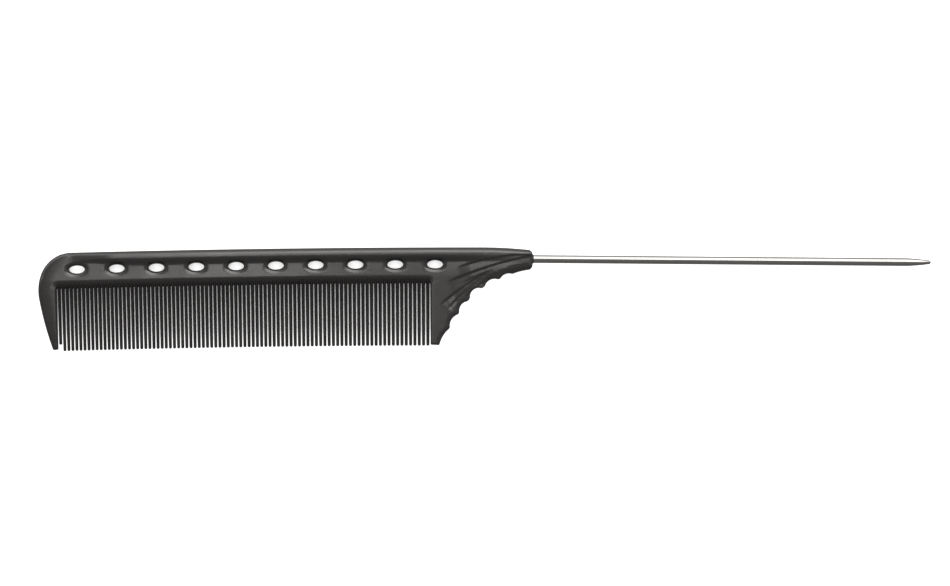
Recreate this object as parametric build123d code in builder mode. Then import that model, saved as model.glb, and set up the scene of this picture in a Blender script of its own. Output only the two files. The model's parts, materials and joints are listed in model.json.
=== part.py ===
from build123d import *

import os
from math import asin, cos, degrees, sin, sqrt

# Rat tail comb: a one-shot plastic comb moulding and the steel tail pin set in its neck.
#
# Millimetres.  The comb lies flat.  +X runs along the tail pin to its tip, +Y points from the
# teeth to the spine and +Z is the thickness.  The origin is the middle of the bottom of the
# whole comb's box.  Outlines are drawn on MID_PLANE, whose own origin is the centre of the
# neck's end, where the tail pin leaves the plastic.

# Overall sizes
TOTAL_LENGTH = 224.0
TAIL_LENGTH = 100.0            # tail pin showing beyond the neck
BEAD_THICKNESS = 4.6           # the rounded bead along the top edge, the thickest section
WEB_THICKNESS = 2.9            # the flat web that holds the oval holes
GUARD_TIP_THICKNESS = 1.6      # the guard teeth thin towards their tips
TOP_ABOVE_AXIS = 2.86          # highest point of the top edge, above the pin's axis
GUARD_BELOW_AXIS = 23.90       # lowest point of the end guard, below the pin's axis
TEETH_BELOW_AXIS = 24.12       # lowest point of the teeth, at the end guard

# The bowed spine: every level of the comb is concentric with the top edge
BOW_RADIUS = 3750.0
BOW_CENTRE_X = 16.0            # the bow's highest point, beyond the neck's end
BOW_TOP_Y = 2.97
CREST_END_DEPTH = 2.3          # depths are measured square to the top edge
FLANK_DEPTH = 3.6              # the bead falls to the web between these two
HOLE_DEPTH = 4.28
TAPER_DEPTH = 6.2              # the guards thin from here to their tips
WEB_DEPTH = 7.03               # the web's lower edge, where the gullets begin
ROOT_DEPTH = 9.05              # the slots are open from here down
TIP_DEPTH = 24.7
GUARD_SHORT = 0.25             # the guard beside the wing stops this much above the tooth tips
END_GUARD_SHORT = 0.45         # and the end guard's inner corner this much

# Oval guide holes, each dished on both faces
HOLE_COUNT = 10
HOLE_PITCH = 10.0
LAST_HOLE_X = -24.5
HOLE_LENGTH, HOLE_HEIGHT = 3.9, 1.95
DISH_LENGTH, DISH_HEIGHT = 6.0, 3.9
HOLE_LAND = 0.5                # half the height of the straight wall in mid-thickness

# Teeth: 89 between two guards, spaced a little wider towards the neck
TOOTH_COUNT = 89
FIRST_SLOT_X = -119.28
FIRST_PITCH = 1.01
PITCH_GROWTH = 0.00094         # added to each next pitch
ROOT_GAP, TIP_GAP = 0.22, 0.30
TOOTH_ROOT_THICKNESS, TOOTH_TIP_THICKNESS = 2.6, 1.4
SHORT_TOOTH_CUT = 1.65         # the tooth beside the end guard stops this much short
GULLET_EDGE = 0.5              # plastic left between the two gullets of a slot

# Neck, wing and tail pin
NECK_TOP_Y, NECK_BOTTOM_Y = 2.22, -2.64
NECK_CORNER = 1.2
EDGE_RADIUS = 1.0              # rounds the outer edges of the bead, the end guard and the neck
LIP_DIAMETER, LIP_LENGTH = 2.5, 0.3
PIN_DIAMETER = 2.0
PIN_TAPER_LENGTH = 6.0
PIN_END_DIAMETER = 1.0
ANCHOR_LENGTH = 18.0           # moulded into the neck
ANCHOR_DIAMETER = 1.5          # turned down, with two collars that lock it in the plastic
COLLAR_DIAMETER, COLLAR_LENGTH = 2.6, 1.5
COLLAR_PLACES = (-15.0, -8.0)
ANCHOR_END_X = LIP_LENGTH      # the full wire shoulders against the neck's lip

# Outline points that only shape the comb, on MID_PLANE
CORNER_START_X = -115.9        # the top edge turns down into the end guard
END_CORNER = (-123.44, -5.1)   # from here on the end guard's corner opens into its belly
END_BELLY = (-123.77, -11.2)   # the belly ends and the guard's side slants in to its tip
END_TIP_X = -120.1
SHOULDER_X = -13.0             # the top edge starts to fall to the neck's end
SPINE_MIDDLE_X = -64.0
NECK_LENGTH = 26.0             # the round neck fades into the web over this length
NECK_CORE_END_X = 1.0
NECK_CENTRE_Y = -0.1
NECK_HEIGHT = 5.4
NECK_CORE_RADIUS = 1.2
NECK_CORE_EXTRA = 0.4          # its core starts this much thinner than the web, ends thicker than the bead
UNDERSIDE = [(-2.4, -2.98), (-5.0, -3.80)]
WING_LOBES = [                 # feather tips along the wing's lower edge, and the bite before each
    ((-8.2, -5.35), 0.72),
    ((-12.0, -7.8), 1.33),
    ((-15.35, -10.75), 1.80),
    ((-18.15, -13.95), 1.25),
    ((-20.55, -17.5), 0.92),
    ((-23.2, -21.8), 0.45),
]
LOBE_RADIUS = 0.65
FLUTES = [                     # each flute's upper wall by three points, its width, its floor
    ((-19.0, -2.3), (-11.7, -0.1), (-1.8, 1.1), 1.1, 1.65),
    ((-21.4, -5.9), (-13.0, -2.6), (-2.8, 0.45), 1.3, 1.45),
    ((-23.0, -11.8), (-16.6, -6.6), (-10.8, -3.1), 1.3, 1.15),
    ((-21.3, -12.9), (-17.3, -8.6), (-12.6, -4.8), 0.7, 1.15),
]                              # the floor is a height above mid-thickness

CLOSE = 0.01
OVERCUT = 0.1                  # cutting shapes run this much past the surface that they cut
SWEEP_START_X = -126.6         # shapes swept along the bow start beyond the end guard
SWEEP_END_X = 1.0              # and end beyond the neck's end

# Places worked out from the sizes above
NECK_END_X = TOTAL_LENGTH / 2 - TAIL_LENGTH
PIN_AXIS_Y = (TEETH_BELOW_AXIS - TOP_ABOVE_AXIS) / 2
MID_Z = BEAD_THICKNESS / 2
MID_PLANE = Plane((NECK_END_X, PIN_AXIS_Y, MID_Z))
PIN_AXIS = Axis(MID_PLANE.origin, (1, 0, 0))
PIN_PLANE = Plane(MID_PLANE.origin, x_dir=(1, 0, 0), z_dir=(0, -1, 0))
BOW_CENTRE_Y = BOW_TOP_Y - BOW_RADIUS
BOW_AXIS = Axis((NECK_END_X + BOW_CENTRE_X, PIN_AXIS_Y + BOW_CENTRE_Y, 0), (0, 0, 1))


def on_level(x, depth=0.0):
    """Point on MID_PLANE at x, on the bowed level this far below the top edge."""
    radius = BOW_RADIUS - depth
    return (x, BOW_CENTRE_Y + sqrt(radius**2 - (x - BOW_CENTRE_X) ** 2))


def below(x_at_root, across, depth):
    """Point on the radial line that crosses the root level at x, moved sideways by across."""
    angle = asin((x_at_root - BOW_CENTRE_X) / (BOW_RADIUS - ROOT_DEPTH))
    radius = BOW_RADIUS - depth
    return (
        BOW_CENTRE_X + radius * sin(angle) + across * cos(angle),
        BOW_CENTRE_Y + radius * cos(angle) - across * sin(angle),
    )


def slot_x(n):
    """Where slot n crosses the root level."""
    return FIRST_SLOT_X + n * FIRST_PITCH + PITCH_GROWTH * n * (n - 1) / 2


def radial_plane(x):
    """Plane square to the top edge at x: its X runs down into the comb, its Y is +Z."""
    angle = asin((x - BOW_CENTRE_X) / BOW_RADIUS)
    edge_x, edge_y = on_level(x)
    origin = MID_PLANE.from_local_coords((edge_x, edge_y, 0))
    return Plane(origin, x_dir=(-sin(angle), -cos(angle), 0), z_dir=(-cos(angle), sin(angle), 0))


def bow_angle(x_from, x_to):
    """Degrees turned about the bow's centre between two places along the top edge."""
    turn = asin((x_to - BOW_CENTRE_X) / BOW_RADIUS) - asin((x_from - BOW_CENTRE_X) / BOW_RADIUS)
    return degrees(turn)


LAST_SLOT_X = slot_x(TOOTH_COUNT)

# ------------------------------------------------------------------------------- tail pin

with BuildPart() as tail_pin:
    with BuildSketch(PIN_PLANE):
        with BuildLine():
            profile = [(-ANCHOR_LENGTH, 0), (-ANCHOR_LENGTH, ANCHOR_DIAMETER / 2)]
            for collar_x in COLLAR_PLACES:
                start, end = collar_x - COLLAR_LENGTH / 2, collar_x + COLLAR_LENGTH / 2
                profile += [(start, ANCHOR_DIAMETER / 2), (start, COLLAR_DIAMETER / 2)]
                profile += [(end, COLLAR_DIAMETER / 2), (end, ANCHOR_DIAMETER / 2)]
            profile += [(ANCHOR_END_X, ANCHOR_DIAMETER / 2), (ANCHOR_END_X, PIN_DIAMETER / 2)]
            profile += [(TAIL_LENGTH - PIN_TAPER_LENGTH, PIN_DIAMETER / 2)]
            profile += [(TAIL_LENGTH - PIN_END_DIAMETER / 2, PIN_END_DIAMETER / 2)]
            Polyline(*profile)
            point = RadiusArc(profile[-1], (TAIL_LENGTH, 0), PIN_END_DIAMETER / 2)
            Line(point @ 1, profile[0])
        make_face()
    revolve(axis=PIN_AXIS)
tail_pin.part.label = "tail_pin"

# ------------------------------------------------------------------- comb frame's outline

with BuildSketch(MID_PLANE) as frame_outline:
    with BuildLine():
        top = ThreePointArc(on_level(CORNER_START_X), on_level(SPINE_MIDDLE_X), on_level(SHOULDER_X))
        shoulder = TangentArc(top @ 1, (0, NECK_TOP_Y), tangent=top % 1)
        neck_end = Line(shoulder @ 1, (0, NECK_BOTTOM_Y))
        underside = ThreePointArc(neck_end @ 1, *UNDERSIDE)
        lobe_tips = [underside @ 1]
        for lobe_tip, bite in WING_LOBES:
            SagittaArc(lobe_tips[-1], lobe_tip, bite)
            lobe_tips.append(Vector(lobe_tip))
        guard_end = Line(lobe_tips[-1], below(LAST_SLOT_X, TIP_GAP / 2, TIP_DEPTH - GUARD_SHORT))
        guard_inner = Line(guard_end @ 1, below(LAST_SLOT_X, ROOT_GAP / 2, ROOT_DEPTH))
        root_left = below(FIRST_SLOT_X, -ROOT_GAP / 2, ROOT_DEPTH)
        root = ThreePointArc(guard_inner @ 1, on_level(SPINE_MIDDLE_X, ROOT_DEPTH), root_left)
        end_corner = TangentArc(top @ 0, END_CORNER, tangent=-(top % 0))
        end_belly = TangentArc(end_corner @ 1, END_BELLY, tangent=end_corner % 1)
        end_side = TangentArc(end_belly @ 1, (END_TIP_X, -GUARD_BELOW_AXIS), tangent=end_belly % 1)
        end_inner = Line(root @ 1, below(FIRST_SLOT_X, -TIP_GAP / 2, TIP_DEPTH - END_GUARD_SHORT))
        Line(end_inner @ 1, end_side @ 1)
    make_face()
    neck_corners = [neck_end @ 0, neck_end @ 1]
    for places, radius in ((neck_corners, NECK_CORNER), (lobe_tips[:-1], LOBE_RADIUS)):
        corners = [
            corner for corner in frame_outline.vertices() for place in places
            if (corner.center() - place).length < CLOSE
        ]
        fillet(corners, radius)

# ------------------------------------------------------------- dishes, flutes and gullets

with BuildPart() as guide_holes:
    for hole in range(HOLE_COUNT):
        x = LAST_HOLE_X - hole * HOLE_PITCH
        tilt = -bow_angle(BOW_CENTRE_X, x)
        for side in (1, -1):
            levels = [
                (0, HOLE_LENGTH, HOLE_HEIGHT),
                (HOLE_LAND, HOLE_LENGTH, HOLE_HEIGHT),
                (BEAD_THICKNESS / 2, DISH_LENGTH, DISH_HEIGHT),
            ]
            for start, end in zip(levels, levels[1:]):
                for height, length, width in (start, end):
                    with BuildSketch(MID_PLANE.offset(side * height)):
                        with Locations(Location((*on_level(x, HOLE_DEPTH), 0), (0, 0, tilt))):
                            Ellipse(length / 2, width / 2)
                loft()

with BuildPart() as gullet_floor:
    slope = (WEB_THICKNESS - GULLET_EDGE) / 2 / (ROOT_DEPTH - WEB_DEPTH)
    with BuildSketch(radial_plane(SWEEP_START_X)):
        with BuildLine():
            upper = (WEB_DEPTH - 2 * OVERCUT, WEB_THICKNESS / 2 + 2 * OVERCUT * slope)
            lower = (ROOT_DEPTH + 2 * OVERCUT, GULLET_EDGE / 2 - 2 * OVERCUT * slope)
            Polyline(upper, lower, (lower[0], -lower[1]), (upper[0], -upper[1]), close=True)
        make_face()
    revolve(axis=BOW_AXIS, revolution_arc=-bow_angle(SWEEP_START_X, SWEEP_END_X))

with BuildPart() as gullets:
    with BuildSketch(MID_PLANE):
        for slot in range(TOOTH_COUNT + 1):
            x = slot_x(slot)
            with BuildLine():
                Polyline(
                    below(x, -ROOT_GAP / 2, WEB_DEPTH - OVERCUT),
                    below(x, ROOT_GAP / 2, WEB_DEPTH - OVERCUT),
                    below(x, ROOT_GAP / 2, ROOT_DEPTH + OVERCUT),
                    below(x, -ROOT_GAP / 2, ROOT_DEPTH + OVERCUT),
                    close=True,
                )
            make_face()
    extrude(amount=BEAD_THICKNESS / 2, both=True)
    add(gullet_floor.part, mode=Mode.SUBTRACT)

with BuildPart() as flutes:
    for start, middle, end, width, floor in FLUTES:
        for side in (1, -1):
            with BuildSketch(MID_PLANE.offset(side * floor)):
                with BuildLine():
                    wall = ThreePointArc(start, middle, end)
                    lower_middle = (middle[0] + width / 2, middle[1] - width)
                    ThreePointArc(wall @ 1, lower_middle, wall @ 0)
                make_face()
            extrude(amount=side * BEAD_THICKNESS)

# ------------------------------------------------------------------------------ comb frame

with BuildPart() as neck_core:
    for x, thickness in (
        (-NECK_LENGTH, WEB_THICKNESS - NECK_CORE_EXTRA),
        (NECK_CORE_END_X, BEAD_THICKNESS + NECK_CORE_EXTRA),
    ):
        with BuildSketch(Plane.YZ.offset(NECK_END_X + x)):
            with Locations((PIN_AXIS_Y + NECK_CENTRE_Y, MID_Z)):
                RectangleRounded(NECK_HEIGHT, thickness, NECK_CORE_RADIUS)
    loft()

with BuildPart() as recesses:
    for side in (1, -1):
        flank_run = FLANK_DEPTH - CREST_END_DEPTH
        flank_fall = (BEAD_THICKNESS - WEB_THICKNESS) / 2
        with BuildSketch(radial_plane(SWEEP_START_X)):
            with BuildLine():
                Polyline(
                    (CREST_END_DEPTH - flank_run, side * (BEAD_THICKNESS / 2 + flank_fall)),
                    (FLANK_DEPTH, side * WEB_THICKNESS / 2),
                    (TAPER_DEPTH, side * WEB_THICKNESS / 2),
                    (TIP_DEPTH + OVERCUT, side * GUARD_TIP_THICKNESS / 2),
                    (TIP_DEPTH + OVERCUT, side * (BEAD_THICKNESS / 2 + flank_fall)),
                    close=True,
                )
            make_face()
        revolve(axis=BOW_AXIS, revolution_arc=-bow_angle(SWEEP_START_X, SWEEP_END_X))
    add(neck_core.part, mode=Mode.SUBTRACT)

with BuildPart() as comb_frame:
    extrude(frame_outline.sketch, amount=BEAD_THICKNESS / 2, both=True)
    top_edges = comb_frame.faces().filter_by(Axis.Z).edges().sort_by(Axis.Y)[-2:]
    fillet(top_edges, EDGE_RADIUS)             # runs on along every edge tangent to them
    add(recesses.part, mode=Mode.SUBTRACT)
    add(guide_holes.part, mode=Mode.SUBTRACT)
    add(gullets.part, mode=Mode.SUBTRACT)
    add(flutes.part, mode=Mode.SUBTRACT)
    with BuildSketch(Plane.YZ.offset(NECK_END_X)):
        with Locations((PIN_AXIS_Y, MID_Z)):
            Circle(LIP_DIAMETER / 2)
    extrude(amount=LIP_LENGTH)
    add(tail_pin.part, mode=Mode.SUBTRACT)
comb_frame.part.label = "comb_frame"

# -------------------------------------------------------------------------------- teeth

with BuildPart() as comb_teeth:
    with BuildSketch(MID_PLANE):
        for tooth in range(TOOTH_COUNT):
            left, right = slot_x(tooth), slot_x(tooth + 1)
            end_depth = TIP_DEPTH - (SHORT_TOOTH_CUT if tooth == 0 else 0)
            cap = (right - left - TIP_GAP) / 2
            with BuildLine():
                Polyline(
                    below(left, TIP_GAP / 2, end_depth - cap),
                    below(left, ROOT_GAP / 2, ROOT_DEPTH),
                    below(right, -ROOT_GAP / 2, ROOT_DEPTH),
                    below(right, -TIP_GAP / 2, end_depth - cap),
                )
                ThreePointArc(
                    below(right, -TIP_GAP / 2, end_depth - cap),
                    below((left + right) / 2, 0, end_depth),
                    below(left, TIP_GAP / 2, end_depth - cap),
                )
            make_face()
    extrude(amount=BEAD_THICKNESS / 2, both=True)
    with BuildSketch(radial_plane(SWEEP_START_X)):
        with BuildLine():
            Polyline(
                (ROOT_DEPTH, -TOOTH_ROOT_THICKNESS / 2),
                (ROOT_DEPTH, TOOTH_ROOT_THICKNESS / 2),
                (TIP_DEPTH + OVERCUT, TOOTH_TIP_THICKNESS / 2),
                (TIP_DEPTH + OVERCUT, -TOOTH_TIP_THICKNESS / 2),
                (ROOT_DEPTH, -TOOTH_ROOT_THICKNESS / 2),
            )
        make_face()
    revolve(axis=BOW_AXIS, revolution_arc=-bow_angle(SWEEP_START_X, SWEEP_END_X), mode=Mode.INTERSECT)
comb_teeth.part.label = "comb_teeth"

# -------------------------------------------------------------------------------- output

os.makedirs("parts", exist_ok=True)
for piece in (comb_frame, comb_teeth, tail_pin):
    export_step(piece.part, f"parts/{piece.part.label}.step")
    print(piece.part.label, len(piece.part.solids()), round(piece.part.volume, 2),
          piece.part.bounding_box())
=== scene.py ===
import json
from math import ceil, cos, hypot, pi, radians, sin, sqrt, tan

import bpy
import numpy as np
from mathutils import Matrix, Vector
from mathutils.geometry import delaunay_2d_cdt

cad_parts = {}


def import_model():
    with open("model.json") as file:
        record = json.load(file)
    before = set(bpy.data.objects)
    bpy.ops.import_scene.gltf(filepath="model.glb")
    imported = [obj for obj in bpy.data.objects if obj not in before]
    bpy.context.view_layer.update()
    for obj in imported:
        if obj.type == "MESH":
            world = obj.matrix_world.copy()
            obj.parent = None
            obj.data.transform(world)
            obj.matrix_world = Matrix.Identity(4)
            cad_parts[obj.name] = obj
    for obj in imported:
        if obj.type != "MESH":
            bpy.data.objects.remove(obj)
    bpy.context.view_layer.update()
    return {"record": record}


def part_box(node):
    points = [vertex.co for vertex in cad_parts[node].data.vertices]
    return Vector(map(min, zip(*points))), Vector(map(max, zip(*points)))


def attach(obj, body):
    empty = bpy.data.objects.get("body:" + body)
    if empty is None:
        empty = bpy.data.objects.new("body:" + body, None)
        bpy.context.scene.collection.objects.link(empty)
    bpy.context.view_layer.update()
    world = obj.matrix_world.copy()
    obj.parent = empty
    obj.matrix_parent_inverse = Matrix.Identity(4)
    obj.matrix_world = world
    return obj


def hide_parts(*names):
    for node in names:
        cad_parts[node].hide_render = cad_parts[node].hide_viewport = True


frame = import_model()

# A rat tail comb lying flat: a plastic moulding with a bowed spine, ten dished oval holes, a
# fluted neck and 89 teeth, and the steel tail pin in its neck.
#
# Shapes are worked out in millimetres on the comb's mid-plane, with the origin at the centre of
# the neck's end, where the pin leaves it: x runs along the pin, y towards the spine, and h is
# the height above mid-thickness.  Both faces of the comb are alike.

MM = 0.001
LIP_LENGTH = 0.3
TAIL = next(mount for mount in frame["record"]["mounts"] if mount["name"] == "tail")
NECK_END_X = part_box("comb_frame")[1][0] - LIP_LENGTH * MM
PIN_AXIS_Y, MID_Z = TAIL["pos_m"][1:]
TAIL_LENGTH = (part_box("tail_pin")[1][0] - NECK_END_X) / MM
PIN_RADIUS = TAIL["dims"]["r_mm"]
BEAD_HALF = (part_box("comb_frame")[1][2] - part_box("comb_frame")[0][2]) / MM / 2
LEFT_X = (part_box("comb_frame")[0][0] - NECK_END_X) / MM
GUARD_LOW_Y = (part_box("comb_frame")[0][1] - PIN_AXIS_Y) / MM

# The bowed spine, and depths below its top edge
BOW_RADIUS = 3750.0
BOW_CENTRE = (16.0, 2.97 - BOW_RADIUS)
CREST_DEPTH = 1.35             # the bead's crest
FLANK_DEPTH = 3.75             # foot of the bead's flank, on the web
FLANK_SKEW = 1.4               # the flank is steepest past its middle
FLANK_INWARD = 0.9             # how much higher the foot lies at the end guard
FLANK_SHIFT_U = -98            # it starts to shift here, over the next run
FLANK_SHIFT_RUN = 14
BEAD_FADE_U = -117             # the bead rises out of the end corner from here, over the next run
BEAD_FADE_RUN = 12
HOLE_DEPTH = 4.28
BEVEL_DEPTH = 6.95             # the web rolls over into the gullets' bevel
ROOT_DEPTH = 9.05              # the slots are open from here down
TIP_DEPTH = 24.7
GUARD_SHORT = 0.25             # the guard beside the wing stops this much above the tooth tips
END_GUARD_SHORT = 0.45         # and the end guard's inner corner this much
WEB_HALF = 1.45
WEB_TAPER_DEPTH = 7.0          # the guards thin from here to their tips
GUARD_TIP_HALF = 0.8
ROOT_EDGE_HALF = 0.18
BEVEL_ROLL = 0.9               # width of the rounding above the bevel

# The web's lower edge stands a little higher away from the neck, and a little lower near it
DISH_NEAR_NECK, DISH_AWAY = -0.03, 0.09
DISH_CHANGE_U, DISH_CHANGE_RUN = -51, 8
DISH_REACH, DISH_CURVE = 3.2, 1.8
# The end guard and the end corner thin by this much, over this reach from their outer edge
OUTER_THINNING, OUTER_REACH = 0.32, 3.6

# The neck swells to nearly the bead's height: where the swelling starts, and over what run
SWELL_X, SWELL_X_RUN = -24, 21
SWELL_Y, SWELL_Y_RUN = -7.0, 5.5
SWELL_SHORT = 0.12

# Guide holes
HOLE_COUNT, HOLE_PITCH, LAST_HOLE_X = 10, 10.0, -24.5
HOLE_A, HOLE_B = 1.97, 0.98    # half length and half height of the clear oval
HOLE_DISH_WIDTH, HOLE_DISH_DROP = 1.15, 0.60
HOLE_WALL_WIDTH, HOLE_LAND_HALF = 0.28, 0.4
HOLE_POINTS = 56

# Teeth
TOOTH_COUNT = 89
FIRST_SLOT_X, FIRST_PITCH, PITCH_GROWTH = -119.28, 1.01, 0.00094
ROOT_GAP, TIP_GAP = 0.22, 0.30
TOOTH_ROOT_HALF, TOOTH_TIP_HALF = 1.3, 0.7
SECTION_FULLNESS = 3.2         # how full the pointed section's sides are
TOOTH_TOP_DEPTH = 6.9          # hidden inside the web
SHORT_TOOTH_CUT = 1.65         # the tooth beside the end guard stops this much short
TOOTH_CAP = 0.4                # length of a tooth's rounded tip

# Tail pin, and the thin lip of plastic round it
PIN_TAPER, PIN_END_RADIUS = 6.0, 0.5
LIP_RADIUS = 1.25


# ------------------------------------------------------------------------------ plane geometry

def bow_point(u, depth):
    """Point at arc position u along the top edge and this far below it."""
    angle = (np.asarray(u, float) - BOW_CENTRE[0]) / BOW_RADIUS
    radius = BOW_RADIUS - np.asarray(depth, float)
    x = BOW_CENTRE[0] + radius * np.sin(angle)
    y = BOW_CENTRE[1] + radius * np.cos(angle)
    return np.stack(np.broadcast_arrays(x, y), -1)


def bow_coordinates(points):
    """(arc position along the top edge, depth below it) of each point."""
    dx, dy = points[:, 0] - BOW_CENTRE[0], points[:, 1] - BOW_CENTRE[1]
    return BOW_CENTRE[0] + BOW_RADIUS * np.arctan2(dx, dy), BOW_RADIUS - np.hypot(dx, dy)


def slot_u(n):
    """Arc position of slot n."""
    x = FIRST_SLOT_X + n * FIRST_PITCH + PITCH_GROWTH * n * (n - 1) / 2
    return BOW_CENTRE[0] + (x - BOW_CENTRE[0]) * BOW_RADIUS / (BOW_RADIUS - ROOT_DEPTH)


FIRST_U, LAST_U = slot_u(0), slot_u(TOOTH_COUNT)


def resample(points, step):
    """The same open path with evenly spaced points about step apart."""
    points = np.asarray(points, float)
    along = np.concatenate([[0], np.cumsum(np.hypot(*np.diff(points, axis=0).T))])
    places = np.linspace(0, along[-1], max(2, ceil(along[-1] / step) + 1))
    return np.stack([np.interp(places, along, points[:, k]) for k in (0, 1)], -1)


def arc(start, middle, end):
    """Circular arc through three points."""
    (ax, ay), (bx, by), (cx, cy) = start, middle, end
    d = 2 * (ax * (by - cy) + bx * (cy - ay) + cx * (ay - by))
    a2, b2, c2 = ax * ax + ay * ay, bx * bx + by * by, cx * cx + cy * cy
    centre = np.array([
        (a2 * (by - cy) + b2 * (cy - ay) + c2 * (ay - by)) / d,
        (a2 * (cx - bx) + b2 * (ax - cx) + c2 * (bx - ax)) / d,
    ])
    angles = [np.arctan2(p[1] - centre[1], p[0] - centre[0]) for p in (start, middle, end)]
    turn = (angles[2] - angles[0]) % (2 * pi)
    if (angles[1] - angles[0]) % (2 * pi) > turn:
        turn -= 2 * pi
    t = angles[0] + np.linspace(0, 1, 65) * turn
    radius = hypot(ax - centre[0], ay - centre[1])
    return centre + radius * np.stack([np.cos(t), np.sin(t)], -1)


def bulged(start, end, bulge):
    """Arc from start to end that stands out by bulge, to the left of the way it runs."""
    start, end = np.array(start, float), np.array(end, float)
    along = (end - start) / np.hypot(*(end - start))
    middle = (start + end) / 2 + bulge * np.array([-along[1], along[0]])
    return arc(start, middle, end)


def tangent_arc(start, direction, end):
    """Arc that leaves start in this direction and ends at end."""
    start, end = np.array(start, float), np.array(end, float)
    direction = np.array(direction, float) / np.hypot(*direction)
    chord = end - start
    length = np.hypot(*chord)
    half_turn = np.arctan2(direction[0] * chord[1] - direction[1] * chord[0], direction @ chord)
    return bulged(start, end, -length / 2 * tan(half_turn / 2))


def trimmed(path, cut):
    """The path without the first and last cut millimetres."""
    along = np.concatenate([[0], np.cumsum(np.hypot(*np.diff(path, axis=0).T))])
    places = np.linspace(cut[0], along[-1] - cut[1], 65)
    return np.stack([np.interp(places, along, path[:, k]) for k in (0, 1)], -1)


def rounded_join(before, after, radius):
    """The two paths cut back, and the rounded corner between them."""
    corner = before[-1]
    t1, t2 = corner - before[-2], after[1] - after[0]
    t1, t2 = t1 / np.hypot(*t1), t2 / np.hypot(*t2)
    turn = np.arccos(np.clip(t1 @ t2, -1, 1))
    reach = radius * tan(turn / 2)
    before, after = trimmed(before, (0, reach)), trimmed(after, (reach, 0))
    t = np.linspace(0, 1, 13)[:, None]
    p0, p3 = before[-1], after[0]
    pull = radius * 4 / 3 * tan(turn / 4)
    p1, p2 = p0 + t1 * pull, p3 - t2 * pull
    curve = (1 - t) ** 3 * p0 + 3 * t * (1 - t) ** 2 * p1 + 3 * t**2 * (1 - t) * p2 + t**3 * p3
    return before, curve, after


def smooth(t):
    """0 below 0, 1 above 1, and an even rise between."""
    t = np.clip(t, 0, 1)
    return t * t * (3 - 2 * t)


def distance_to(points, path):
    """Distance of each point from an open path."""
    best = np.full(len(points), 1e9)
    for a, b in zip(path[:-1], path[1:]):
        ab = b - a
        t = np.clip(((points - a) @ ab) / max(ab @ ab, 1e-12), 0, 1)
        best = np.minimum(best, np.hypot(*(points - a - t[:, None] * ab).T))
    return best


def inside_polygon(points, loop):
    """True for the points inside a closed loop."""
    x, y = points.T
    hit = np.zeros(len(points), bool)
    for (ax, ay), (bx, by) in zip(loop, np.roll(loop, -1, axis=0)):
        if ay != by:
            crosses = (ay > y) != (by > y)
            hit ^= crosses & (x < (bx - ax) * (y - ay) / (by - ay) + ax)
    return hit


# --------------------------------------------------------------------------------- the outline

NECK_TOP_Y, NECK_BOTTOM_Y, NECK_CORNER = 2.22, -2.64, 1.2
SHOULDER_X = -13.0             # the top edge starts to fall to the neck's end
SPINE_MIDDLE_X = -64.0
CORNER_START_X = -115.9        # the top edge turns down into the end guard
END_CORNER = (LEFT_X + 0.58, -5.1)
END_BELLY = (LEFT_X + 0.25, -11.2)
END_TIP = (LEFT_X + 3.9, GUARD_LOW_Y)
UNDERSIDE = [(-2.4, -2.98), (-5.0, -3.80)]
WING_LOBES = [
    ((-8.2, -5.35), 0.72),
    ((-12.0, -7.8), 1.33),
    ((-15.35, -10.75), 1.80),
    ((-18.15, -13.95), 1.25),
    ((-20.55, -17.5), 0.92),
    ((-23.2, -21.8), 0.45),
]
LOBE_RADIUS = 0.65
GUARD_CORNER, END_INNER_CORNER = 0.45, 0.2
WING_TIP_CORNER, WING_INNER_CORNER = 0.25, 0.15
STEP = 0.28                    # spacing of points along the outline
RING_SPACE = 0.08              # the grid's points keep this far from the last ring


def level(x):
    """Point on the top edge at x."""
    return np.array([x, BOW_CENTRE[1] + sqrt(BOW_RADIUS**2 - (x - BOW_CENTRE[0]) ** 2)])


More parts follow.
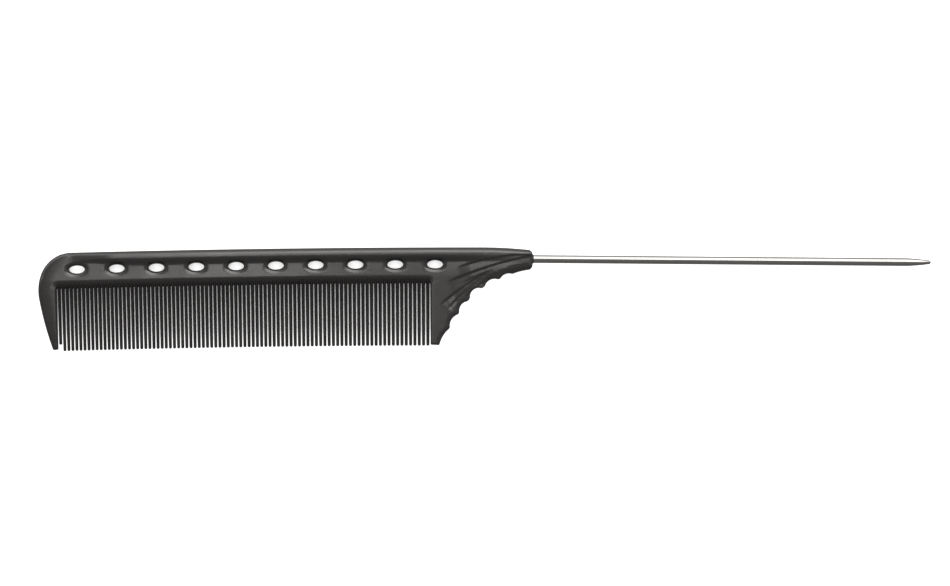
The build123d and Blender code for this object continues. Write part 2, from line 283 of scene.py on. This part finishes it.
def outline():
    """Closed outline, clockwise from the end corner, as a list of (edge kind, path).

    The kinds are those of EDGES, and "root" for the teeth's root line, which has no edge.
    """
    top = arc(level(CORNER_START_X), level(SPINE_MIDDLE_X), level(SHOULDER_X))
    shoulder = tangent_arc(top[-1], top[-1] - top[-2], (0, NECK_TOP_Y))
    neck_end = np.array([(0, NECK_TOP_Y), (0, NECK_BOTTOM_Y)], float)
    underside = arc((0, NECK_BOTTOM_Y), *UNDERSIDE)
    scallops, tip = [], underside[-1]
    for lobe, bite in WING_LOBES:
        scallops.append(bulged(tip, lobe, -bite))
        tip = np.array(lobe)
    guard_low = bow_point(LAST_U + TIP_GAP / 2, TIP_DEPTH - GUARD_SHORT)
    guard_end = np.array([tip, guard_low])
    guard_inner = np.array([guard_low, bow_point(LAST_U + ROOT_GAP / 2, ROOT_DEPTH)])
    root = bow_point(np.linspace(LAST_U + ROOT_GAP / 2, FIRST_U - ROOT_GAP / 2, 400), ROOT_DEPTH)
    end_low = bow_point(FIRST_U - TIP_GAP / 2, TIP_DEPTH - END_GUARD_SHORT)
    end_inner = np.array([root[-1], end_low])
    corner = tangent_arc(top[0], top[0] - top[1], END_CORNER)
    belly = tangent_arc(corner[-1], corner[-1] - corner[-2], END_BELLY)
    side = tangent_arc(belly[-1], belly[-1] - belly[-2], END_TIP)
    end_tip = np.array([end_low, side[-1]])

    shoulder, upper, neck_end = rounded_join(shoulder, neck_end, NECK_CORNER)
    neck_end, lower, underside = rounded_join(neck_end, underside, NECK_CORNER)
    lobes, paths = [], [underside] + scallops
    for n in range(len(scallops)):
        paths[n], lobe, paths[n + 1] = rounded_join(paths[n], paths[n + 1], LOBE_RADIUS)
        lobes.append(lobe)
    paths[-1], tip_corner, guard_end = rounded_join(paths[-1], guard_end, WING_TIP_CORNER)
    guard_end, inner_corner, guard_inner = rounded_join(guard_end, guard_inner, WING_INNER_CORNER)
    end_inner, end_inner_corner, end_tip = rounded_join(end_inner, end_tip, END_INNER_CORNER)
    end_tip, outer_corner, side = rounded_join(end_tip, side[::-1], GUARD_CORNER)

    wing = []
    for lobe, path in zip(lobes, paths[1:]):
        wing += [lobe, path]
    chains = [("nose", top), ("nose", shoulder), ("neck", upper), ("neck", neck_end)]
    chains += [("neck", lower), ("under", paths[0])] + [("wing", path) for path in wing]
    chains += [("tip", tip_corner), ("tip", guard_end), ("slot", inner_corner)]
    chains += [("slot", guard_inner), ("root", root), ("slot", end_inner)]
    chains += [("tip", end_inner_corner), ("tip", end_tip), ("side", outer_corner)]
    chains += [("side", side), ("side", belly[::-1]), ("nose_end", corner[::-1])]
    return [(kind, resample(path, STEP if len(path) > 13 else STEP / 2)) for kind, path in chains]


OUTLINE = outline()
LOOP = np.concatenate([path[:-1] for kind, path in OUTLINE])
HOLES = [LAST_HOLE_X - n * HOLE_PITCH for n in range(HOLE_COUNT)]


def hole_ring(centre_u, clearance, count):
    """Ring of points around a guide hole, clearance outside its edge."""
    t = np.linspace(0, 2 * pi, count, endpoint=False)
    along, down = HOLE_A * np.cos(t), HOLE_B * np.sin(t)
    normal = np.stack([np.cos(t) / HOLE_A, np.sin(t) / HOLE_B], -1)
    normal /= np.hypot(*normal.T)[:, None]
    return bow_point(
        centre_u + along + clearance * normal[:, 0], HOLE_DEPTH + down + clearance * normal[:, 1]
    )


def hole_clearance(u, depth):
    """Distance outside the nearest guide hole's edge, negative inside it."""
    nearest = np.full(len(u), 1e9)
    for centre in HOLES:
        du, ds = u - centre, depth - HOLE_DEPTH
        e = np.sqrt((du / HOLE_A) ** 2 + (ds / HOLE_B) ** 2)
        slope = np.hypot(du / HOLE_A**2, ds / HOLE_B**2)
        nearest = np.minimum(nearest, (e - 1) * e / np.maximum(slope, 1e-6))
    return nearest


# ------------------------------------------------------------------------------ the surface

# Edge kind: (how far in the edge is rounded, half height left at the parting line)
EDGES = {
    "nose": (CREST_DEPTH, 0.10),
    "nose_end": (CREST_DEPTH, 0.10),
    "neck": (0.45, 1.3),
    "under": (1.9, 0.45),
    "wing": (1.1, 0.35),
    "tip": (0.5, 0.35),
    "slot": (0.35, 0.45),
    "side": (1.2, 0.12),
}
FLUTES_START_X = -26
FLUTE_KEPT = 0.6               # the part of the drop that a flute's floor doesn't win back
# Flutes: start, middle and end of the steep upper wall, its width at the start and at the end,
# its drop, and how far below it the floor comes back up
FLUTES = [
    ((-19.0, -2.30), (-11.7, -0.13), (3.0, 1.14), 0.52, 0.32, 0.40, 3.4),
    ((-21.4, -5.95), (-13.0, -2.60), (3.0, 1.47), 0.60, 0.32, 0.45, 3.6),
    ((-23.2, -11.8), (-16.6, -6.50), (-10.8, -3.05), 0.62, 0.36, 0.27, 3.0),
    ((-21.4, -12.9), (-17.2, -8.35), (-12.3, -4.45), 0.40, 0.32, 0.14, 1.9),
    ((-17.4, -6.05), (-13.8, -4.25), (-9.8, -2.65), 0.32, 0.28, 0.12, 1.2),
    ((-6.4, -2.05), (-3.5, -1.40), (-0.9, -1.10), 0.32, 0.28, 0.10, 0.9),
    ((-10.5, -4.10), (-7.0, -2.75), (-3.8, -2.05), 0.32, 0.28, 0.14, 1.3),
    ((-13.8, -6.90), (-11.2, -4.90), (-8.4, -3.35), 0.34, 0.30, 0.13, 1.2),
    ((-17.2, -10.2), (-14.6, -7.55), (-12.0, -5.70), 0.34, 0.30, 0.12, 1.2),
]


def flute_depth(points):
    """How far the flutes cut below the neck's and wing's surface."""
    cut = np.zeros(len(points))
    near = points[:, 0] > FLUTES_START_X
    spot = points[near]
    total = np.zeros(len(spot))
    for start, middle, end, start_width, end_width, drop, recovery in FLUTES:
        path = resample(arc(start, middle, end), 0.25)
        best = np.full(len(spot), 1e9)
        side, place = np.zeros(len(spot)), np.zeros(len(spot))
        for n, (a, b) in enumerate(zip(path[:-1], path[1:])):
            ab = b - a
            t = np.clip(((spot - a) @ ab) / (ab @ ab), 0, 1)
            off = spot - a - t[:, None] * ab
            away = np.hypot(*off.T)
            closer = away < best
            best[closer] = away[closer]
            side[closer] = np.sign(ab[1] * off[closer, 0] - ab[0] * off[closer, 1])
            place[closer] = (n + t[closer]) / (len(path) - 1)
        across = best * side
        width = start_width + (end_width - start_width) * place
        wall = smooth((across + width / 2) / width)
        rise = recovery * (0.75 + 0.25 * smooth(place / 0.4))
        unrecovered = np.clip(1 - (across - width / 2) / rise, 0, 1) ** 1.2
        floor = FLUTE_KEPT + (1 - FLUTE_KEPT) * unrecovered
        ends = smooth(place / 0.16) * (1 - 0.4 * place) * smooth((1 - place) / 0.12)
        total += drop * wall * np.where(across > width / 2, floor, 1) * ends
    cut[near] = total
    return cut


def half_height(points):
    """Height of the comb's face above mid-thickness at each point."""
    u, depth = bow_coordinates(points)
    x, y = points.T
    edge = {kind: np.full(len(points), 1e9) for kind in EDGES}
    for kind, path in OUTLINE:
        if kind in edge:
            edge[kind] = np.minimum(edge[kind], distance_to(points, path))
    from_top = np.minimum(edge["nose"], edge["nose_end"])

    # The web is faintly dished away from the neck, and thins down the guards
    away = smooth((DISH_CHANGE_U - u) / DISH_CHANGE_RUN)
    dish = DISH_NEAR_NECK + (DISH_AWAY - DISH_NEAR_NECK) * away
    web = WEB_HALF + dish * np.clip((depth - FLANK_DEPTH) / DISH_REACH, 0, 1) ** DISH_CURVE
    taper = np.clip((depth - WEB_TAPER_DEPTH) / (TIP_DEPTH - WEB_TAPER_DEPTH), 0, 1)
    web = web - (WEB_HALF - GUARD_TIP_HALF) * taper
    outer = np.minimum(edge["side"], edge["nose_end"])
    web = web - OUTER_THINNING * np.clip(1 - outer / OUTER_REACH, 0, 1) ** 2
    # The neck swells towards its end
    swell = smooth((x - SWELL_X) / SWELL_X_RUN) * smooth((y - SWELL_Y) / SWELL_Y_RUN)
    web = web + (BEAD_HALF - SWELL_SHORT - web) * swell
    # The bead stands above the web, and fades out round the end corner
    bead_fade = smooth((u - BEAD_FADE_U) / BEAD_FADE_RUN)
    foot = FLANK_DEPTH - FLANK_INWARD * smooth((FLANK_SHIFT_U - u) / FLANK_SHIFT_RUN)
    t = np.clip((from_top - CREST_DEPTH) / (foot - CREST_DEPTH), 0, 1)
    crest = web + (BEAD_HALF - web) * bead_fade
    t = t**FLANK_SKEW
    bead = crest + (web - crest) * t**3 * (6 * t**2 - 15 * t + 10)
    h = np.maximum(bead, web)
    clear_of_top = smooth((from_top - 0.6) / 0.9)
    h = h - flute_depth(points) * clear_of_top

    # The bevel down to the gullets, between the guards
    roll = np.clip((depth - BEVEL_DEPTH) / BEVEL_ROLL, 0, 1)
    run = np.maximum(depth - BEVEL_DEPTH - BEVEL_ROLL, 0) + BEVEL_ROLL / 2 * roll**2
    full_run = ROOT_DEPTH - BEVEL_DEPTH - BEVEL_ROLL / 2
    bevel = h - (h - ROOT_EDGE_HALF) * run / full_run
    between = smooth((u - FIRST_U + 0.3) / 0.6) * smooth((LAST_U + 0.2 - u) / 0.45)
    h = np.where(depth < ROOT_DEPTH + 0.01, h + (bevel - h) * between, h)

    # Guide holes: a shallow dish, and a steep wall at the hole's edge
    clear = hole_clearance(u, depth)
    h = h - HOLE_DISH_DROP * np.clip(1 - clear / HOLE_DISH_WIDTH, 0, 1) ** 2
    wall = np.clip(clear / HOLE_WALL_WIDTH, 0, 1)
    h = HOLE_LAND_HALF + (h - HOLE_LAND_HALF) * np.sqrt(np.clip(1 - (1 - wall) ** 2, 0, 1))

    for kind, (reach, edge_half) in EDGES.items():
        inward = np.clip(edge[kind] / reach, 0, 1)
        curve = np.sqrt(np.clip(1 - (1 - inward) ** 2, 0, 1))
        h = np.where(inward < 1, np.minimum(h, edge_half + (h - edge_half) * curve), h)
    return h


def moulding_points():
    """Points inside the outline that carry the surface: edge rings, hole rings and a grid."""
    inside = []
    along = np.roll(LOOP, -1, axis=0) - np.roll(LOOP, 1, axis=0)
    inward = np.stack([along[:, 1], -along[:, 0]], -1)
    inward /= np.hypot(*inward.T)[:, None]
    ring_angles = np.radians([14, 28, 42, 56, 72, 90])
    rings = [1 - cos(angle) for angle in ring_angles] + [1.3, 1.65]
    closed = np.vstack([LOOP, LOOP[:1]])
    for reach in rings:
        ring = LOOP + inward * reach
        inside.append(ring[distance_to(ring, closed) > 0.96 * reach])

    hole_rings = [0.03, 0.08, 0.15, 0.24, 0.4, 0.6, 0.82, 1.05]
    for centre in HOLES:
        for clearance in hole_rings:
            inside.append(hole_ring(centre, clearance, HOLE_POINTS))

    # The grid is finer where the flutes are
    grids = []
    for u_from, u_to, depth_from, depth_to, pitch in (
        (-124.5, FLUTES_START_X, 1.3, 24.6, 0.30),
        (FLUTES_START_X, 0.5, -0.5, 24.6, 0.19),
    ):
        rows = np.arange(depth_from, depth_to, pitch * 0.8)
        u, depth = np.meshgrid(np.arange(u_from, u_to, pitch), rows)
        u = u + (np.arange(len(rows)) % 2)[:, None] * pitch / 2
        grids.append(bow_point(u.ravel(), depth.ravel()))
    grid = np.concatenate(grids)
    grid = grid[inside_polygon(grid, LOOP)]
    away = distance_to(grid, closed)
    grid = grid[away > rings[-1] + RING_SPACE]
    u, depth = bow_coordinates(grid)
    grid = grid[hole_clearance(u, depth) > hole_rings[-1] + RING_SPACE]
    points = np.concatenate(inside + [grid])
    u, depth = bow_coordinates(points)
    return points[inside_polygon(points, LOOP) & (hole_clearance(u, depth) > 0.005)]


def world(x, y, h):
    """Row-frame place, in metres, of a point given in the comb's own millimetres."""
    return np.stack([NECK_END_X + x * MM, PIN_AXIS_Y + y * MM, MID_Z + h * MM], -1)


def make_object(name, vertices, faces):
    """Smooth-shaded mesh object."""
    mesh = bpy.data.meshes.new(name)
    mesh.from_pydata([tuple(v) for v in vertices], [], [tuple(f) for f in faces])
    mesh.validate()
    mesh.shade_smooth()
    piece = bpy.data.objects.new(name, mesh)
    bpy.context.collection.objects.link(piece)
    return piece


def make_moulding():
    """Spine, guards, wing and neck: two mirrored faces joined by a wall at the parting line."""
    loops = [LOOP] + [hole_ring(centre, 0.0, HOLE_POINTS) for centre in HOLES]
    fixed = np.concatenate(loops)
    edges, start = [], 0
    for loop in loops:
        count = len(loop)
        edges += [(start + n, start + (n + 1) % count) for n in range(count)]
        start += count
    points = np.concatenate([fixed, moulding_points()])
    made = delaunay_2d_cdt([Vector(p) for p in points], edges, [], 1, 1e-6, False)
    flat = np.array([(v.x, v.y) for v in made[0]])
    faces = np.array([f for f in made[2] if len(f) == 3])
    centres = flat[faces].mean(axis=1)
    u, depth = bow_coordinates(centres)
    faces = faces[inside_polygon(centres, LOOP) & (hole_clearance(u, depth) > 0)]
    a, b, c = (flat[faces[:, k]] for k in range(3))
    area = (b - a)[:, 0] * (c - a)[:, 1] - (b - a)[:, 1] * (c - a)[:, 0]
    faces[area < 0] = faces[area < 0][:, ::-1]

    h = half_height(flat)
    count = len(flat)
    front, back = world(*flat.T, h), world(*flat.T, -h)
    sides = [(tri[k], tri[(k + 1) % 3]) for tri in faces for k in range(3)]
    met = set(sides)
    walls = [(a, a + count, b + count, b) for a, b in sides if (b, a) not in met]
    all_faces = [tuple(f) for f in faces] + [tuple(f[::-1] + count) for f in faces]
    return make_object("comb_moulding", np.concatenate([front, back]), all_faces + walls)


# ---------------------------------------------------------------------------------- the teeth

def make_teeth():
    """Every tooth is a slim bar of pointed-arch section, rounded over at its tip."""
    body_rings, tip_rings = 9, 6
    rise = np.array([0, 0.3, 0.55, 0.75, 0.9, 1.0])
    rise = np.concatenate([-rise[::-1], rise[1:]])
    width = 1 - np.abs(rise) ** SECTION_FULLNESS
    rise = np.concatenate([rise, rise[-2:0:-1]])
    width = np.concatenate([width, -width[-2:0:-1]])
    section_points = len(rise)
    vertices, faces = [], []
    for tooth in range(TOOTH_COUNT):
        left, right = slot_u(tooth), slot_u(tooth + 1)
        end = TIP_DEPTH - (SHORT_TOOTH_CUT if tooth == 0 else 0)
        straight = np.linspace(TOOTH_TOP_DEPTH, end - TOOTH_CAP, body_rings)
        bend = np.linspace(0, pi / 2, tip_rings + 1)[1:-1]
        depths = np.concatenate([straight, end - TOOTH_CAP + TOOTH_CAP * np.sin(bend)])
        shrink = np.concatenate([np.ones(body_rings), np.cos(bend) ** 0.7])
        first = len(vertices)
        for depth, scale in zip(depths, shrink):
            along = np.clip((depth - ROOT_DEPTH) / (TIP_DEPTH - ROOT_DEPTH), 0, 1)
            scale_line = (BOW_RADIUS - depth) / BOW_RADIUS
            gap = ROOT_GAP + (TIP_GAP - ROOT_GAP) * along
            half_width = ((right - left) * scale_line - gap) / 2
            height = TOOTH_ROOT_HALF + (TOOTH_TIP_HALF - TOOTH_ROOT_HALF) * along
            across = half_width * scale * width
            up = height * scale * rise
            middle = (left + right) / 2
            spots = bow_point(middle + across / scale_line, np.full(section_points, depth))
            vertices += list(world(*spots.T, up))
        rings = len(depths)
        for ring in range(rings - 1):
            for k in range(section_points):
                a = first + ring * section_points + k
                b = first + ring * section_points + (k + 1) % section_points
                faces.append((a, b, b + section_points, a + section_points))
        top = tuple(first + k for k in range(section_points))[::-1]
        tip = len(vertices)
        vertices.append(world(*bow_point((left + right) / 2, end), 0.0))
        last = first + (rings - 1) * section_points
        faces.append(top)
        faces += [(last + k, last + (k + 1) % section_points, tip) for k in range(section_points)]
    teeth = make_object("teeth_row", vertices, faces)
    teeth.data.set_sharp_from_angle(angle=radians(50))
    return teeth


# ------------------------------------------------------------------------------- the tail pin

def lathe(name, profile, segments):
    """Solid of revolution about the pin's axis from (x, radius) points, closed at both ends."""
    turn = np.linspace(0, 2 * pi, segments, endpoint=False)
    vertices, faces = [], []
    for x, radius in profile:
        ring = world(np.full(segments, x), radius * np.cos(turn), radius * np.sin(turn))
        vertices += list(ring)
    for ring in range(len(profile) - 1):
        for k in range(segments):
            a, b = ring * segments + k, ring * segments + (k + 1) % segments
            faces.append((a, b, b + segments, a + segments))
    faces.append(tuple(range(segments))[::-1])
    last = (len(profile) - 1) * segments
    faces.append(tuple(last + k for k in range(segments)))
    return make_object(name, vertices, faces)


def make_tail_pin():
    """Drawn steel wire, its last stretch tapered to a rounded point."""
    profile = [(-1.5, PIN_RADIUS * 0.9), (-1.4, PIN_RADIUS)]
    profile += [(x, PIN_RADIUS) for x in np.linspace(-1.0, TAIL_LENGTH - PIN_TAPER - 1.0, 12)]
    ease = np.linspace(0, 1, 9)
    fall = (PIN_RADIUS - PIN_END_RADIUS) * (0.85 * ease**1.25 + 0.15 * ease**3)
    xs = TAIL_LENGTH - PIN_TAPER + (PIN_TAPER - PIN_END_RADIUS) * ease
    profile += list(zip(xs, PIN_RADIUS - fall))
    tip_centre = TAIL_LENGTH - PIN_END_RADIUS
    for angle in np.radians([18, 36, 54, 70, 82]):
        profile.append((tip_centre + PIN_END_RADIUS * sin(angle), PIN_END_RADIUS * cos(angle)))
    profile.append((TAIL_LENGTH, PIN_END_RADIUS * 0.04))
    return lathe("steel_tail_pin", profile, 64)


def make_neck_lip():
    """The thin collar of plastic that the mould leaves round the pin."""
    inner = PIN_RADIUS - 0.02
    profile = [(-0.4, inner), (-0.4, LIP_RADIUS), (-0.05, LIP_RADIUS)]
    profile += [(0.03, LIP_RADIUS - 0.05), (0.12, LIP_RADIUS - 0.12), (0.21, PIN_RADIUS + 0.08)]
    profile += [(LIP_LENGTH, PIN_RADIUS + 0.05), (LIP_LENGTH - 0.01, inner)]
    return lathe("neck_lip", profile, 48)


# ---------------------------------------------------------------------------------- materials

def new_material(name):
    """Material with its node tree, its shader and a helper that adds nodes."""
    material = bpy.data.materials.new(name)
    material.use_nodes = True
    tree = material.node_tree
    shader = tree.nodes["Principled BSDF"]

    def node(kind, inputs=None, **settings):
        made = tree.nodes.new(kind)
        for key, value in settings.items():
            setattr(made, key, value)
        for key, value in (inputs or {}).items():
            if isinstance(value, bpy.types.NodeSocket):
                tree.links.new(value, made.inputs[key])
            else:
                made.inputs[key].default_value = value
        return made

    return material, tree, shader, node


def plastic_material():
    """Satin charcoal moulding: fine spark-eroded grain, faint flow streaks and handling marks."""
    material, tree, shader, node = new_material("satin_charcoal_plastic")
    place = node("ShaderNodeTexCoord").outputs["Object"]
    streak_place = node("ShaderNodeMapping", {"Vector": place, "Scale": (60, 420, 420)})
    streaks = node("ShaderNodeTexNoise", {
        "Vector": streak_place.outputs["Vector"], "Scale": 1.0, "Detail": 5.0, "Roughness": 0.6})
    cloud = node("ShaderNodeTexNoise", {"Vector": place, "Scale": 140.0, "Detail": 3.0})
    grain = node("ShaderNodeTexNoise", {"Vector": place, "Scale": 5200.0, "Detail": 3.0})
    tone = node("ShaderNodeValToRGB", {"Fac": streaks.outputs["Fac"]})
    for element, place_along, colour in zip(
        tone.color_ramp.elements, (0.3, 0.7), ((0.0128, 0.0121, 0.0121), (0.0188, 0.0178, 0.0178))
    ):
        element.position = place_along
        element.color = (*colour, 1)
    rough = node("ShaderNodeMapRange", {
        "Value": cloud.outputs["Fac"], "From Min": 0.3, "From Max": 0.7,
        "To Min": 0.20, "To Max": 0.28})
    bump = node("ShaderNodeBump", {
        "Height": grain.outputs["Fac"], "Strength": 0.22, "Distance": 0.00003})
    tree.links.new(tone.outputs["Color"], shader.inputs["Base Color"])
    tree.links.new(rough.outputs["Result"], shader.inputs["Roughness"])
    tree.links.new(bump.outputs["Normal"], shader.inputs["Normal"])
    shader.inputs["Specular IOR Level"].default_value = 0.5
    return material


def steel_material():
    """Polished drawn stainless wire: fine lengthwise draw lines and faint smudges."""
    material, tree, shader, node = new_material("drawn_stainless_steel")
    place = node("ShaderNodeTexCoord").outputs["Object"]
    line_place = node("ShaderNodeMapping", {"Vector": place, "Scale": (25, 9000, 9000)})
    lines = node("ShaderNodeTexNoise", {
        "Vector": line_place.outputs["Vector"], "Scale": 1.0, "Detail": 4.0})
    smudge = node("ShaderNodeTexNoise", {"Vector": place, "Scale": 90.0, "Detail": 4.0})
    rough = node("ShaderNodeMapRange", {
        "Value": smudge.outputs["Fac"], "From Min": 0.3, "From Max": 0.7,
        "To Min": 0.12, "To Max": 0.20})
    bump = node("ShaderNodeBump", {
        "Height": lines.outputs["Fac"], "Strength": 0.06, "Distance": 0.00001})
    shader.inputs["Base Color"].default_value = (0.25, 0.245, 0.237, 1)
    shader.inputs["Metallic"].default_value = 1.0
    tree.links.new(rough.outputs["Result"], shader.inputs["Roughness"])
    tree.links.new(bump.outputs["Normal"], shader.inputs["Normal"])
    return material


# ------------------------------------------------------------------------------ stage and camera

LIGHT_TINT = (1.0, 0.98, 0.96)
FLOOR_HALF = 4.0
SOFTBOX_DISTANCE = 1.6
WORLD_STRENGTH = 5.0
VIEW_WIDTH = 0.2385            # metres across the view, in the comb's plane
LENS, SENSOR_WIDTH = 105.0, 36.0
CAMERA_OFFSET = (-0.01437, -0.00864)      # from the neck's end
CAMERA_TURN = 0.473            # degrees


def make_floor():
    """Pale table, lit by the lamps and glowing by emission on top. Its glow is painted shade:
    ambient occlusion dims it where the comb covers it, between the teeth. Diffuse and glossy rays
    don't see it.
    """
    corners = [(-1, -1), (1, -1), (1, 1), (-1, 1)]
    corners = [(x * FLOOR_HALF, y * FLOOR_HALF, 0) for x, y in corners]
    floor = make_object("floor", corners, [(0, 1, 2, 3)])
    material, tree, shader, node = new_material("pale_floor_painted_shade")
    shader.inputs["Base Color"].default_value = (0.5, 0.5, 0.5, 1)
    shader.inputs["Roughness"].default_value = 1.0
    shader.inputs["Specular IOR Level"].default_value = 0.0
    shader.inputs["Emission Color"].default_value = (1, 1, 1, 1)
    # Painted shade: the floor's emission is dimmed by ambient occlusion near the comb, in place
    # of a shadow between the teeth
    painted_shade_openness = node("ShaderNodeAmbientOcclusion", {"Distance": 0.006}, samples=16)
    painted_shade_dimmed = node("ShaderNodeMath", {0: painted_shade_openness.outputs["AO"], 1: 1.4}, operation="POWER")
    painted_glow_raised = node("ShaderNodeMath", {0: painted_shade_dimmed.outputs[0], 1: 11.0}, operation="MULTIPLY")
    painted_glow_and_shade = node("ShaderNodeMath", {0: painted_glow_raised.outputs[0], 1: 1.0}, operation="MINIMUM")
    tree.links.new(painted_glow_and_shade.outputs[0], shader.inputs["Emission Strength"])
    floor.data.materials.append(material)
    floor.visible_diffuse = False
    floor.visible_glossy = False


def make_softbox(name, left, right, low, high, radiance):
    """Area light that faces the comb, from one x to another and from one angle to another.

    The angles are taken from overhead, towards the spine's side.
    """
    angle = radians(low + high) / 2
    data = bpy.data.lights.new(name, "AREA")
    data.shape = "RECTANGLE"
    data.size = right - left
    data.size_y = 2 * SOFTBOX_DISTANCE * tan(radians(high - low) / 2)
    data.energy = radiance * pi * data.size * data.size_y
    data.color = LIGHT_TINT
    light = bpy.data.objects.new(name, data)
    bpy.context.collection.objects.link(light)
    up, across = SOFTBOX_DISTANCE * cos(angle), SOFTBOX_DISTANCE * sin(angle)
    light.location = ((left + right) / 2, across, up)
    light.rotation_euler = (-angle, 0, 0)


def make_world():
    """Studio surroundings, by angle from overhead: dim, lighter low down beyond the spine.

    The camera itself sees plain pale surroundings.
    """
    studio = bpy.data.worlds.new("studio")
    bpy.context.scene.world = studio
    studio.use_nodes = True
    tree = studio.node_tree
    tree.nodes.clear()
    place = tree.nodes.new("ShaderNodeTexCoord")
    parts = tree.nodes.new("ShaderNodeSeparateXYZ")
    turn = tree.nodes.new("ShaderNodeMath")
    turn.operation = "ARCTAN2"
    to_unit = tree.nodes.new("ShaderNodeMapRange")
    to_unit.inputs["From Min"].default_value = -pi
    to_unit.inputs["From Max"].default_value = pi
    ramp = tree.nodes.new("ShaderNodeValToRGB")
    stops = [(-180, 0.07), (-150, 0.10), (-138, 0.13), (-120, 0.07), (-60, 0.07), (-35, 0.08)]
    stops += [(10, 0.10), (60, 0.12), (67, 0.65), (80, 0.48), (95, 0.30), (110, 0.17)]
    stops += [(125, 0.10), (145, 0.07), (158, 0.05)]
    while len(ramp.color_ramp.elements) < len(stops):
        ramp.color_ramp.elements.new(0.5)
    for element, (angle, value) in zip(ramp.color_ramp.elements, stops):
        element.position = (angle + 180) / 360
        element.color = (*(value * tint for tint in LIGHT_TINT), 1)
    surround = tree.nodes.new("ShaderNodeBackground")
    surround.inputs["Strength"].default_value = WORLD_STRENGTH
    pale = tree.nodes.new("ShaderNodeBackground")
    pale.inputs["Color"].default_value = (0.95, 0.95, 0.95, 1)
    ray = tree.nodes.new("ShaderNodeLightPath")
    mix = tree.nodes.new("ShaderNodeMixShader")
    out = tree.nodes.new("ShaderNodeOutputWorld")
    tree.links.new(place.outputs["Generated"], parts.inputs[0])
    tree.links.new(parts.outputs["Y"], turn.inputs[0])
    tree.links.new(parts.outputs["Z"], turn.inputs[1])
    tree.links.new(turn.outputs[0], to_unit.inputs["Value"])
    tree.links.new(to_unit.outputs["Result"], ramp.inputs["Fac"])
    tree.links.new(ramp.outputs["Color"], surround.inputs["Color"])
    tree.links.new(ray.outputs["Is Camera Ray"], mix.inputs["Fac"])
    tree.links.new(surround.outputs[0], mix.inputs[1])
    tree.links.new(pale.outputs[0], mix.inputs[2])
    tree.links.new(mix.outputs[0], out.inputs["Surface"])


def make_camera():
    """Long lens straight above the comb, turned half a degree."""
    data = bpy.data.cameras.new("camera")
    data.sensor_width, data.lens = SENSOR_WIDTH, LENS
    height = VIEW_WIDTH * LENS / SENSOR_WIDTH
    camera = bpy.data.objects.new("camera", data)
    bpy.context.collection.objects.link(camera)
    camera.location = (
        NECK_END_X + CAMERA_OFFSET[0], PIN_AXIS_Y + CAMERA_OFFSET[1], MID_Z + height)
    camera.rotation_euler = (0, 0, radians(CAMERA_TURN))
    bpy.context.scene.camera = camera


# --------------------------------------------------------------------------------- assembly

plastic, steel = plastic_material(), steel_material()
for piece, nodes, material, finish in (
    (make_moulding(), ["comb_frame"], plastic, "comb_plastic"),
    (make_teeth(), ["comb_teeth"], plastic, "comb_plastic"),
    (make_neck_lip(), ["comb_frame"], plastic, "comb_plastic"),
    (make_tail_pin(), ["tail_pin"], steel, "tail_steel"),
):
    piece.data.materials.append(material)
    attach(piece, "root")
    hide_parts(*nodes)

make_floor()
make_softbox("end_softbox", left=-0.34, right=-0.134, low=-4.5, high=67, radiance=5.5)
make_softbox("middle_softbox", left=-0.134, right=0.04, low=22, high=67, radiance=5.2)
make_softbox("tail_softbox", left=0.04, right=0.80, low=12, high=67, radiance=5.0)
make_world()
make_camera()
bpy.context.scene.view_settings.view_transform = "Standard"
